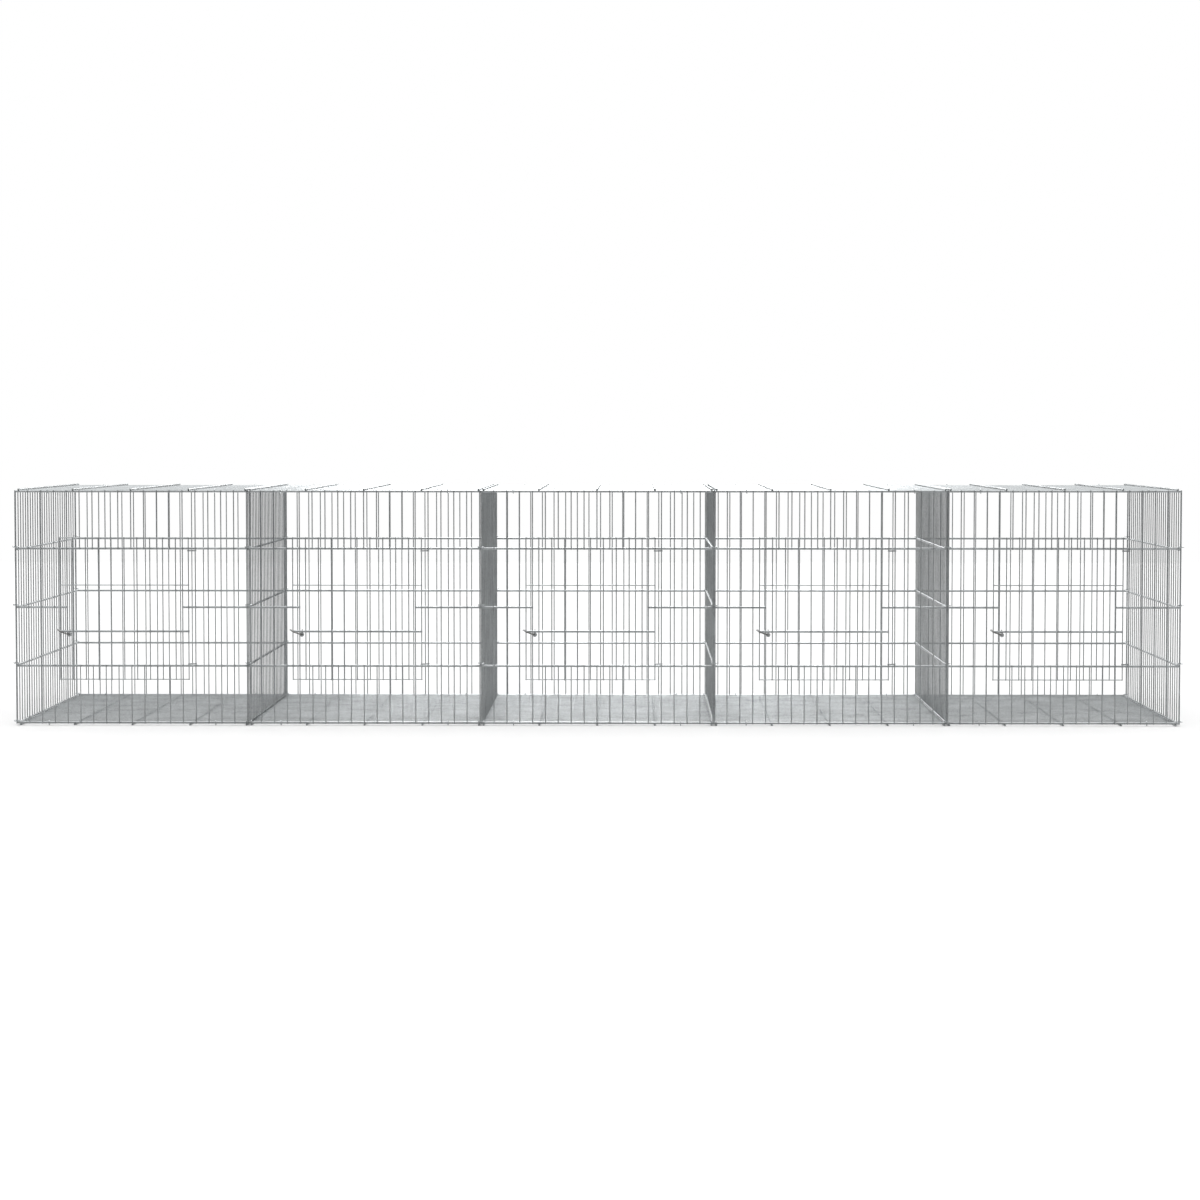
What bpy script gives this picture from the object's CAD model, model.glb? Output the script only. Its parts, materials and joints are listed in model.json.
"""Row of wire kennel cages: zinc-coated wire, weld beads, open ring clips and bent latches, in a pale studio.

Lengths are in metres, in the frame of the CAD model. Places come from the boxes of the CAD nodes and from the
joints; the wire thicknesses, spacings and counts below are those of the model.
"""
import json
import math

import bmesh
import bpy
import numpy as np
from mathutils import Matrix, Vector


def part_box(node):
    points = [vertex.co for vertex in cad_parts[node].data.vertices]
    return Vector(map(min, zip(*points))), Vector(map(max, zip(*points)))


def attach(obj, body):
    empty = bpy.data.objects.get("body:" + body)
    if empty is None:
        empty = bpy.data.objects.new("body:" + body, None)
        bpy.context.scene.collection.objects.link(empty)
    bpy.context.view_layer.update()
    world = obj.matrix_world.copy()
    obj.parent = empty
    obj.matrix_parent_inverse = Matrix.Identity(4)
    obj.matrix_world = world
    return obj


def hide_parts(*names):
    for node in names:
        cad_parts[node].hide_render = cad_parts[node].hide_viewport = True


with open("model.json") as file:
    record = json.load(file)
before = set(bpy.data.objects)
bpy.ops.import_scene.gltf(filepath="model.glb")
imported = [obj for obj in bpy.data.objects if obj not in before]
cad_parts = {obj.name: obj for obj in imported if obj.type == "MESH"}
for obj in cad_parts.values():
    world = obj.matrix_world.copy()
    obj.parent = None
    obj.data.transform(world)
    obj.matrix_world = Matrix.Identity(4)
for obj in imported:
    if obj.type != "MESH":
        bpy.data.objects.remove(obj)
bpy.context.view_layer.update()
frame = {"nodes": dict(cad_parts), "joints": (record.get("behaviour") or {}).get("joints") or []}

BAYS = range(1, 6)
SEAMS = BAYS[:-1]

# Wires: thickness, spacing and number in a panel
MESH_WIRE = 0.0025
RAIL = 0.005
LEVEL_ROD = 0.004
WIRE_PITCH = 0.030
ROD_PITCH = 4.5 * WIRE_PITCH
FRONT_WIRES = 19
DEPTH_WIRES = 27
PANEL_RAILS = 5

# Doorway: the uncut wires at its sides, and its rails' distance from the middle rail
DOORWAY_SIDES = (4, 13)
HALF_DOORWAY = 0.137

# Door: its upright wires, and the height of its rail and of its level wire above the lowest one
DOOR_WIRES = 11
DOOR_RAIL_UP = 0.112
DOOR_ROW_UP = 0.220

# Weld beads: half sizes across the wires, across the joint and along the wire; how much they vary, and the
# most they may differ, in such steps
BEAD = (0.0016, 0.0009, 0.0020)
BEAD_SPREAD = 0.14
BEAD_LIMIT = 2

# Ring clips: their wire, how far round they close, how far their ends pass each other, and how thin those are
RING_WIRE = 0.0018
RING_TURN = math.radians(384)
RING_LAP = 0.0019
RING_END = 0.45
RING_TAPER_STEPS = 4
RING_STEPS = 44
RING_SIDES = 10
RINGS_ON_POST = 4
EDGE_RING_INSET = MESH_WIRE / 2 + 2.5 * WIRE_PITCH

# Where each row of rings has its ends, in degrees
POST_RING_TURNS = {"front_post_clips": 200, "back_post_clips": 20}
EDGE_RING_TURNS = {"floor_clips": 60, "top_clips": -60}

# Latches: the rod, the balls at the ends of the CAD latch, the arm's reach and rise, and the finger
LATCH_ROD = 0.003
LATCH_BALL = 0.00324
LATCH_ARM = (0.019, 0.0065)
LATCH_FINGER = 0.012
LATCH_BEND_R = 0.0024
LATCH_SIDES = 20
BEND_STEPS = 7
TAIL_STEPS = 14
FINGER_END = 0.8

# The latch's tab: its length, where it starts to widen (in tab lengths from the tip), and its width and
# thickness against the rod's
TAB_LENGTH = 0.0095
TAB_START = 1.15
TAB_WIDEN = 1.75
TAB_THIN = 0.5

# The tab's tip is rounded over this many rod radii, down to the root of this share
TIP_ROUND = 1.6
TIP_LEFT = 0.05

# A distance that counts as none, and one beyond the reach of any latch
NEAR = 1e-6
FAR = 1.0

# Zinc is a slightly blue grey; the latches' is a warmer one
ZINC_TINT = (0.945, 0.985, 1.0)
LATCH_TINT = (1.0, 0.99, 0.96)
NOISE_ROUGHNESS = 0.55

# Studio: the sky's grey by height, how much lower it seems in front, its strength, and the paper floor
SKY = [(0.0, 0.03), (0.2, 0.03), (0.5, 0.75), (0.75, 1.0), (1.0, 0.5)]
FRONT_FALL = 0.42
SKY_STRENGTH = 2.4
PAPER = 0.74
PAPER_GRAIN = 0.005
PAPER_REACH = (9.0, 9.0)

# Soft light, high behind the row
LIGHT_PLACE = (0, 1.7, 1.75)
LIGHT_AIM = (0, 0, 0.2)
LIGHT_SIZE = (1.7, 1.1)
LIGHT_POWER = 84

# Camera: millimetres of lens and sensor, and its place and aim, whose Y is counted from the front of the row
CAMERA_LENS = 93.7
CAMERA_SENSOR = 36.0
CAMERA_REACH = 200.0
CAMERA_PLACE = (0.0864, -7.26, 0.6755)
CAMERA_AIM = (0.0071, 0.0, 0.294)


# ---------------------------------------------------------------- node helpers

def feed(tree, source, target):
    """Gives an input a number, or links it to an output."""
    if isinstance(source, (int, float)):
        target.default_value = source
    else:
        tree.links.new(source, target)


def node_material(name):
    """A material that is only a Principled shader, with its node tree and the shader."""
    material = bpy.data.materials.new(name)
    material.use_nodes = True
    tree = material.node_tree
    tree.nodes.clear()
    output = tree.nodes.new("ShaderNodeOutputMaterial")
    shader = tree.nodes.new("ShaderNodeBsdfPrincipled")
    tree.links.new(shader.outputs["BSDF"], output.inputs["Surface"])
    return material, tree, shader


def object_space(tree):
    """The coordinates of the CAD frame."""
    return tree.nodes.new("ShaderNodeTexCoord").outputs["Object"]


def ramp(tree, factor, stops):
    """The colour of a ramp with (position, grey or colour) stops."""
    node = tree.nodes.new("ShaderNodeValToRGB")
    elements = node.color_ramp.elements
    while len(elements) < len(stops):
        elements.new(0.5)
    for element, (position, value) in zip(elements, stops):
        element.position = position
        element.color = (*value, 1) if isinstance(value, tuple) else (value, value, value, 1)
    tree.links.new(factor, node.inputs["Fac"])
    return node.outputs["Color"]


def noise(tree, coordinates, scale, detail=4.0):
    """The value of a noise texture."""
    texture = tree.nodes.new("ShaderNodeTexNoise")
    texture.inputs["Scale"].default_value = scale
    texture.inputs["Detail"].default_value = detail
    texture.inputs["Roughness"].default_value = NOISE_ROUGHNESS
    tree.links.new(coordinates, texture.inputs["Vector"])
    return texture.outputs["Fac"]


def arithmetic(tree, operation, *values):
    """The result of a maths node, whose values are numbers or outputs."""
    node = tree.nodes.new("ShaderNodeMath")
    node.operation = operation
    for value, target in zip(values, node.inputs):
        feed(tree, value, target)
    return node.outputs["Value"]


def mix_colour(tree, blend, factor, first, second):
    """Two colours mixed by a factor that is a number or an output."""
    node = tree.nodes.new("ShaderNodeMix")
    node.data_type = "RGBA"
    node.blend_type = blend
    feed(tree, factor, node.inputs["Factor"])
    tree.links.new(first, node.inputs["A"])
    tree.links.new(second, node.inputs["B"])
    return node.outputs["Result"]


# ---------------------------------------------------------------- materials

def zinc(name, dark, light, rough, spangle=260.0, bump=0.25, tint=ZINC_TINT):
    """Zinc-coated steel: crystal spangle, cloudy patches, dark specks and a faintly lumpy surface.

    dark and light are its greys, rough the range of its roughness, and spangle the fineness of its crystals.
    """
    material, tree, shader = node_material(name)
    shader.inputs["Metallic"].default_value = 1.0
    coordinates = object_space(tree)

    def tone(level):
        grey = dark + (light - dark) * level
        return tuple(grey * part for part in tint)

    clouds = noise(tree, coordinates, scale=14.0, detail=5.0)
    colour = ramp(tree, clouds, [(0.30, tone(0.0)), (0.52, tone(0.55)), (0.72, tone(1.0))])

    crystals = tree.nodes.new("ShaderNodeTexVoronoi")
    crystals.inputs["Scale"].default_value = spangle
    tree.links.new(coordinates, crystals.inputs["Vector"])
    facets = ramp(tree, crystals.outputs["Color"], [(0.0, 0.72), (0.5, 0.95), (1.0, 1.0)])
    colour = mix_colour(tree, "MULTIPLY", 0.7, colour, facets)

    specks = noise(tree, coordinates, scale=900.0, detail=2.0)
    speck_shade = ramp(tree, specks, [(0.30, 0.70), (0.42, 1.0), (1.0, 1.0)])
    colour = mix_colour(tree, "MULTIPLY", 0.5, colour, speck_shade)
    tree.links.new(colour, shader.inputs["Base Color"])

    rough_range = tree.nodes.new("ShaderNodeMapRange")
    limits = {"From Min": 0.3, "From Max": 0.7, "To Min": rough[0], "To Max": rough[1]}
    for field, value in limits.items():
        rough_range.inputs[field].default_value = value
    tree.links.new(noise(tree, coordinates, scale=70.0, detail=4.0), rough_range.inputs["Value"])
    tree.links.new(rough_range.outputs["Result"], shader.inputs["Roughness"])

    lumps = noise(tree, coordinates, scale=420.0, detail=3.0)
    grain = noise(tree, coordinates, scale=1900.0, detail=2.0)
    relief = tree.nodes.new("ShaderNodeBump")
    relief.inputs["Strength"].default_value = bump
    relief.inputs["Distance"].default_value = 0.0004
    tree.links.new(arithmetic(tree, "MULTIPLY_ADD", grain, 0.35, lumps), relief.inputs["Height"])
    tree.links.new(relief.outputs["Normal"], shader.inputs["Normal"])
    return material


def worn_latch_metal():
    """The latch's darker zinc, rubbed bright where a thumb moves its tab."""
    material = zinc("latch_zinc", dark=0.10, light=0.20, rough=(0.38, 0.6), spangle=900.0, bump=0.3,
                    tint=LATCH_TINT)
    tree = material.node_tree
    shader = next(node for node in tree.nodes if node.type == "BSDF_PRINCIPLED")
    base = shader.inputs["Base Color"].links[0].from_socket
    wear = tree.nodes.new("ShaderNodeAttribute")
    wear.attribute_name = "wear"
    bright = ramp(tree, noise(tree, object_space(tree), scale=1200.0), [(0.0, 0.62), (1.0, 0.78)])
    colour = mix_colour(tree, "MIX", wear.outputs["Fac"], base, bright)
    tree.links.new(colour, shader.inputs["Base Color"])
    return material


def studio_paper():
    """The pale floor: matt paper with a barely visible grain."""
    material, tree, shader = node_material("studio_paper")
    grain = noise(tree, object_space(tree), scale=3.0)
    tone = ramp(tree, grain, [(0.0, PAPER - PAPER_GRAIN), (1.0, PAPER + PAPER_GRAIN)])
    tree.links.new(tone, shader.inputs["Base Color"])
    shader.inputs["Roughness"].default_value = 0.9
    shader.inputs["Specular IOR Level"].default_value = 0.1
    return material


MESH_ZINC = zinc("mesh_zinc", dark=0.34, light=0.47, rough=(0.30, 0.40))
DOOR_ZINC = zinc("door_zinc", dark=0.34, light=0.47, rough=(0.30, 0.40))
BEAD_ZINC = zinc("bead_zinc", dark=0.26, light=0.50, rough=(0.42, 0.66), spangle=700.0, bump=0.5)
CLIP_ZINC = zinc("clip_zinc", dark=0.34, light=0.52, rough=(0.24, 0.4), spangle=1200.0, bump=0.12)
LATCH_ZINC = worn_latch_metal()


# ---------------------------------------------------------------- mesh helpers

def new_piece(name, vertices, faces, material, body, slot):
    """A smooth mesh piece that rides on a body and takes its finish from a material slot of the record."""
    mesh = bpy.data.meshes.new(name)
    mesh.from_pydata(vertices, [], faces)
    mesh.materials.append(material)
    mesh.shade_smooth()
    mesh.update()
    piece = bpy.data.objects.new(name, mesh)
    bpy.context.scene.collection.objects.link(piece)
    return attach(piece, body)


def sweep(path, radii, sides, square_to=None):
    """The vertices and faces of a closed tube along path.

    radii gives each point's half sizes, along a side direction and across it. The direction follows the path
    without twisting. With square_to it is also kept square to that axis where the path runs clearly across
    it, so that a flattened length faces along the axis.
    """
    points = [Vector(point) for point in path]
    last = len(points) - 1
    vertices, faces = [], []
    side = None
    for i, point in enumerate(points):
        tangent = (points[min(i + 1, last)] - points[max(i - 1, 0)]).normalized()
        if square_to is None:
            side = side or tangent.orthogonal().normalized()
        else:
            square = tangent.cross(square_to)
            if side is None:
                side = square.normalized()
            elif square.length > 0.9:
                side = square.normalized() if square.dot(side) >= 0 else -square.normalized()
        side = (side - tangent * side.dot(tangent)).normalized()
        up = tangent.cross(side)
        along, across = radii[i]
        for k in range(sides):
            angle = 2 * math.pi * k / sides
            vertices.append(point + side * along * math.cos(angle) + up * across * math.sin(angle))
    for i in range(last):
        ring, following = i * sides, (i + 1) * sides
        for k in range(sides):
            after = (k + 1) % sides
            faces.append((ring + k, ring + after, following + after, following + k))
    faces.append(tuple(range(sides - 1, -1, -1)))
    faces.append(tuple(last * sides + k for k in range(sides)))
    return vertices, faces


def joined(parts):
    """Several (vertices, faces) as one."""
    vertices, faces = [], []
    for part_vertices, part_faces in parts:
        start = len(vertices)
        vertices.extend(part_vertices)
        faces.extend(tuple(index + start for index in face) for face in part_faces)
    return vertices, faces


# ---------------------------------------------------------------- weld beads

def unit_ball():
    """The vertices and triangles of a small ball of radius 1, as arrays."""
    ball = bmesh.new()
    bmesh.ops.create_icosphere(ball, subdivisions=1, radius=1.0)
    ball.verts.index_update()
    vertices = np.array([v.co for v in ball.verts])
    faces = np.array([[v.index for v in f.verts] for f in ball.faces])
    ball.free()
    return vertices, faces


BALL_VERTICES, BALL_FACES = unit_ball()


def beads(name, centres, along, across, body, slot):
    """One weld bead at each centre.

    along is the mesh wire's axis, and across the axis through both wires: 0, 1 or 2.
    """
    seeded = np.random.default_rng(len(name) * 1000 + len(centres))
    other = 3 - along - across
    sizes = np.zeros(3)
    sizes[other], sizes[across], sizes[along] = BEAD
    centres = np.array(centres)
    spread = seeded.standard_normal((len(centres), 1, 3)).clip(-BEAD_LIMIT, BEAD_LIMIT)
    swell = 1 + BEAD_SPREAD * spread
    vertices = (centres[:, None, :] + BALL_VERTICES[None] * sizes * swell).reshape(-1, 3)
    starts = np.arange(len(centres)) * len(BALL_VERTICES)
    faces = (BALL_FACES[None] + starts[:, None, None]).reshape(-1, 3)
    new_piece(name, vertices.tolist(), faces.tolist(), BEAD_ZINC, body, slot)


def spaced(first, count):
    """Mesh wires from the first one on, at the mesh's pitch."""
    return [first + WIRE_PITCH * i for i in range(count)]


def between(low, high, thickness, count):
    """The middles of wires that are evenly spaced and lie just inside low and high."""
    return np.linspace(low + thickness / 2, high - thickness / 2, count)


def front_beads(bay):
    """Beads where a front panel's upright wires cross its rails, none inside the doorway."""
    low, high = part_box(f"front_panel_{bay}")
    wires = spaced(low.x + MESH_WIRE / 2, FRONT_WIRES)
    left, right = (wires[number] for number in DOORWAY_SIDES)
    middle = (low.z + high.z) / 2
    uncut = [low.z + RAIL / 2, middle - HALF_DOORWAY, middle + HALF_DOORWAY, high.z - RAIL / 2]
    y = low.y + MESH_WIRE
    centres = [(x, y, z) for z in uncut for x in wires]
    centres += [(x, y, middle) for x in wires if x <= left + NEAR or x >= right - NEAR]
    beads(f"front_panel_{bay}_welds", centres, 2, 1, "cage", "galvanised_mesh")


def back_beads(bay):
    """Beads where a back panel's upright wires cross its rails."""
    low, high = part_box(f"back_panel_{bay}")
    wires = spaced(low.x + MESH_WIRE / 2, FRONT_WIRES)
    rails = between(low.z, high.z, RAIL, PANEL_RAILS)
    centres = [(x, high.y - MESH_WIRE, z) for z in rails for x in wires]
    beads(f"back_panel_{bay}_welds", centres, 2, 1, "cage", "galvanised_mesh")


def side_beads(node, wires_on_left):
    """Beads of a partition or an end panel, whose upright wires stand on its left or its right."""
    low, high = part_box(node)
    depths = between(low.y, high.y, MESH_WIRE, DEPTH_WIRES)
    rails = between(low.z, high.z, RAIL, PANEL_RAILS)
    x = low.x + MESH_WIRE if wires_on_left else high.x - MESH_WIRE
    centres = [(x, y, z) for z in rails for y in depths]
    beads(f"{node}_welds", centres, 2, 0, "cage", "galvanised_mesh")


def level_beads(node, bay, rods_below):
    """Beads of a floor or top panel, where its mesh wires cross its five rods."""
    low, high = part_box(node)
    partition_low, partition_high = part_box("partition_1")
    depths = between(partition_low.y, partition_high.y, MESH_WIRE, DEPTH_WIRES)
    first_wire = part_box(f"front_panel_{bay}")[0].x + MESH_WIRE / 2
    rods = [low.x + LEVEL_ROD / 2, high.x - LEVEL_ROD / 2]
    rods += [first_wire + ROD_PITCH * k for k in (1, 2, 3)]
    z = low.z + LEVEL_ROD if rods_below else high.z - LEVEL_ROD
    centres = [(x, y, z) for x in rods for y in depths]
    beads(f"{node}_welds", centres, 0, 2, "cage", "galvanised_mesh")


def door_beads(bay):
    """Beads of a door, where its upright wires cross its level wires and its rail."""
    low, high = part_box(f"door_{bay}")
    edge = MESH_WIRE / 2
    bottom = low.z + edge
    wires = spaced(low.x + edge, DOOR_WIRES)
    levels = [bottom, bottom + DOOR_RAIL_UP, bottom + DOOR_ROW_UP, high.z - edge]
    centres = [(x, low.y + MESH_WIRE, z) for z in levels for x in wires]
    beads(f"door_{bay}_welds", centres, 2, 1, f"door_{bay}", "galvanised_door")


# ---------------------------------------------------------------- ring clips

def open_ring(centre, axis, radius, turn):
    """A bent ring clip, whose ends pass each other side by side and are cut to a taper.

    axis is 0 (X) or 2 (Z).
    """
    path, radii = [], []
    for step in range(RING_STEPS + 1):
        share = step / RING_STEPS
        angle = turn + RING_TURN * share
        lift = RING_LAP * (share - 0.5)
        circle = (radius * math.cos(angle), radius * math.sin(angle))
        offset = (lift, *circle) if axis == 0 else (*circle, lift)
        path.append(Vector(centre) + Vector(offset))
        near_end = min(step, RING_STEPS - step) / RING_TAPER_STEPS
        size = RING_WIRE / 2 * min(1.0, RING_END + (1 - RING_END) * near_end)
        radii.append((size, size))
    return sweep(path, radii, RING_SIDES)


def replace_rings(node, rings):
    """The open rings as one piece, which stands for a node's closed ones."""
    piece = new_piece(f"{node}_open", *joined(rings), CLIP_ZINC, "cage", "clip_steel")
    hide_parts(node)


def post_rings(node, turn):
    """Rings round the posts at the corners and at the seams between bays."""
    low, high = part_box(node)
    outer = (high.y - low.y) / 2
    posts = [low.x + outer, high.x - outer]
    for number in SEAMS:
        last_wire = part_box(f"front_panel_{number}")[1].x - MESH_WIRE / 2
        partition_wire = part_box(f"partition_{number}")[1].x - MESH_WIRE / 2
        posts.append((last_wire + partition_wire) / 2)
    heights = between(low.z, high.z, RING_WIRE, RINGS_ON_POST)
    y = (low.y + high.y) / 2
    radius = outer - RING_WIRE / 2
    replace_rings(node, [open_ring((x, y, z), 2, radius, turn) for x in posts for z in heights])


def edge_rings(node, turn):
    """Rings round the first mesh wire and the rail along the front and back edges of the floor or the top."""
    low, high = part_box(node)
    outer = (high.z - low.z) / 2
    places = []
    for bay in BAYS:
        panel_low, panel_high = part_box(f"front_panel_{bay}")
        places += [panel_low.x + EDGE_RING_INSET, panel_high.x - EDGE_RING_INSET]
    edges = (low.y + outer, high.y - outer)
    z = (low.z + high.z) / 2
    radius = outer - RING_WIRE / 2
    replace_rings(node, [open_ring((x, y, z), 0, radius, turn) for x in places for y in edges])


# ---------------------------------------------------------------- latches

def turn_between(first, last, share):
    """The vector part of the way round from first to last, at the same length."""
    angle = first.angle(last)
    weight_first = math.sin((1 - share) * angle) / math.sin(angle)
    weight_last = math.sin(share * angle) / math.sin(angle)
    return first * weight_first + last * weight_last


def rounded_path(corners, bend_radius):
    """The corners joined by straight runs and round bends."""
    points = [Vector(corners[0])]
    for before, corner, after in zip(corners, corners[1:], corners[2:]):
        corner = Vector(corner)
        back = (Vector(before) - corner).normalized()
        on = (Vector(after) - corner).normalized()
        half = back.angle(on) / 2
        setback = bend_radius / math.tan(half)
        centre = corner + (back + on).normalized() * bend_radius / math.sin(half)
        first, last = corner + back * setback - centre, corner + on * setback - centre
        for step in range(BEND_STEPS + 1):
            points.append(centre + turn_between(first, last, step / BEND_STEPS))
    points.append(Vector(corners[-1]))
    return points


def latch_section(from_tip):
    """The rod's half sizes this far from the tip, and how flat it is there, from 0 to 1."""
    radius = LATCH_ROD / 2
    flat = min(1.0, max(0.0, TAB_START - from_tip / TAB_LENGTH))
    flat = flat * flat * (3 - 2 * flat)
    end = max(0.0, 1.0 - from_tip / (radius * TIP_ROUND))
    round_off = math.sqrt(max(TIP_LEFT, 1 - end * end))
    wide = radius * (1 + (TAB_WIDEN - 1) * flat) * round_off
    thin = radius * (1 - (1 - TAB_THIN) * flat) * round_off
    return (wide, thin), flat


def latch(bay):
    """A bent rod: finger, shaft, arm and steeper thumb end, which is hammered to a tab."""
    low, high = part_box(f"latch_{bay}")
    joint = next(j for j in frame["joints"] if j["name"] == f"latch_{bay}_turn")
    x, _, z = joint["pos_m"]
    lever_y = low.y + LATCH_BALL / 2
    finger_y = high.y - LATCH_BALL / 2
    tip = Vector((low.x + LATCH_BALL / 2, lever_y, high.z - LATCH_BALL / 2))
    arm_end = (x - LATCH_ARM[0], lever_y, z + LATCH_ARM[1])
    corners = [(x, finger_y, z + LATCH_FINGER), (x, finger_y, z), (x, lever_y, z), arm_end, tip]
    *path, bend, end = rounded_path(corners, LATCH_BEND_R)
    path += [bend + (end - bend) * step / TAIL_STEPS for step in range(TAIL_STEPS + 1)]

    radii, wear = [], []
    for point in path:
        on_lever = abs(point.y - lever_y) < NEAR and point.x < x - LATCH_ARM[0] / 2
        section, flat = latch_section((tip - point).length if on_lever else FAR)
        radii.append(section)
        wear += [flat] * LATCH_SIDES
    radii[0] = (LATCH_ROD / 2 * FINGER_END, LATCH_ROD / 2 * FINGER_END)

    vertices, faces = sweep(path, radii, LATCH_SIDES, square_to=Vector((0, 1, 0)))
    piece = new_piece(f"latch_{bay}_bent", vertices, faces, LATCH_ZINC, f"latch_{bay}", "latch_steel")
    layer = piece.data.attributes.new("wear", "FLOAT", "POINT")
    layer.data.foreach_set("value", wear)
    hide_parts(f"latch_{bay}")


# ---------------------------------------------------------------- the object

def paint(node, material):
    """Gives a CAD node its material."""
    slots = frame["nodes"][node].data.materials
    if len(slots) == 0:
        slots.append(material)
    for index in range(len(slots)):
        slots[index] = material


for node in frame["nodes"]:
    if node.startswith("door_"):
        paint(node, DOOR_ZINC)
    elif node.startswith(("hinge_straps", "latch_eye")):
        paint(node, CLIP_ZINC)
    else:
        paint(node, MESH_ZINC)

for bay in BAYS:
    front_beads(bay)
    back_beads(bay)
    level_beads(f"floor_panel_{bay}", bay, rods_below=True)
    level_beads(f"top_panel_{bay}", bay, rods_below=False)
    door_beads(bay)
    latch(bay)
for number in SEAMS:
    side_beads(f"partition_{number}", wires_on_left=False)
side_beads("end_panel_left", wires_on_left=True)
side_beads("end_panel_right", wires_on_left=False)
for node, degrees in POST_RING_TURNS.items():
    post_rings(node, math.radians(degrees))
for node, degrees in EDGE_RING_TURNS.items():
    edge_rings(node, math.radians(degrees))


# ---------------------------------------------------------------- studio

def studio_floor():
    """A sheet of paper under the row."""
    x, y = PAPER_REACH
    corners = [(-x, -y, 0), (x, -y, 0), (x, y, 0), (-x, y, 0)]
    mesh = bpy.data.meshes.new("studio_floor")
    mesh.from_pydata(corners, [], [(0, 1, 2, 3)])
    mesh.materials.append(studio_paper())
    floor = bpy.data.objects.new("studio_floor", mesh)
    bpy.context.scene.collection.objects.link(floor)
    return floor


def studio_sky():
    """A soft ceiling over a dark horizon, lower in front than behind. The camera sees plain white instead."""
    world = bpy.data.worlds.new("studio")
    bpy.context.scene.world = world
    world.use_nodes = True
    tree = world.node_tree
    tree.nodes.clear()
    output = tree.nodes.new("ShaderNodeOutputWorld")
    direction = tree.nodes.new("ShaderNodeTexCoord").outputs["Generated"]
    split = tree.nodes.new("ShaderNodeSeparateXYZ")
    tree.links.new(direction, split.inputs["Vector"])
    in_front = arithmetic(tree, "MINIMUM", split.outputs["Y"], 0.0)
    height = arithmetic(tree, "MULTIPLY_ADD", in_front, FRONT_FALL, split.outputs["Z"])
    ceiling = tree.nodes.new("ShaderNodeBackground")
    ceiling.inputs["Strength"].default_value = SKY_STRENGTH
    tree.links.new(ramp(tree, height, SKY), ceiling.inputs["Color"])
    white = tree.nodes.new("ShaderNodeBackground")
    white.inputs["Color"].default_value = (1, 1, 1, 1)
    mix = tree.nodes.new("ShaderNodeMixShader")
    tree.links.new(tree.nodes.new("ShaderNodeLightPath").outputs["Is Camera Ray"], mix.inputs["Fac"])
    tree.links.new(ceiling.outputs["Background"], mix.inputs[1])
    tree.links.new(white.outputs["Background"], mix.inputs[2])
    tree.links.new(mix.outputs["Shader"], output.inputs["Surface"])


def soft_light(name, floor):
    """A soft area light on the object. The floor doesn't receive it, so that it stays evenly white."""
    light = bpy.data.lights.new(name, "AREA")
    light.shape = "RECTANGLE"
    light.size, light.size_y = LIGHT_SIZE
    light.energy = LIGHT_POWER
    holder = bpy.data.objects.new(name, light)
    holder.location = LIGHT_PLACE
    holder.rotation_euler = (Vector(LIGHT_AIM) - Vector(LIGHT_PLACE)).to_track_quat("-Z", "Y").to_euler()
    bpy.context.scene.collection.objects.link(holder)
    receivers = bpy.data.collections.new(f"{name}_receivers")
    receivers.objects.link(floor)
    receivers.collection_objects[0].light_linking.link_state = "EXCLUDE"
    holder.light_linking.receiver_collection = receivers


def camera():
    """A long lens, a little right of the middle and above the top, looking slightly down at the front."""
    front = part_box("front_panel_3")[0].y
    place, aim = (Vector((x, front + y, z)) for x, y, z in (CAMERA_PLACE, CAMERA_AIM))
    data = bpy.data.cameras.new("camera")
    data.lens = CAMERA_LENS
    data.sensor_width = CAMERA_SENSOR
    data.clip_end = CAMERA_REACH
    holder = bpy.data.objects.new("camera", data)
    holder.location = place
    holder.rotation_euler = (aim - place).to_track_quat("-Z", "Y").to_euler()
    bpy.context.scene.collection.objects.link(holder)
    bpy.context.scene.camera = holder


paper = studio_floor()
studio_sky()
soft_light("high_back", paper)
camera()
bpy.context.scene.view_settings.view_transform = "Standard"
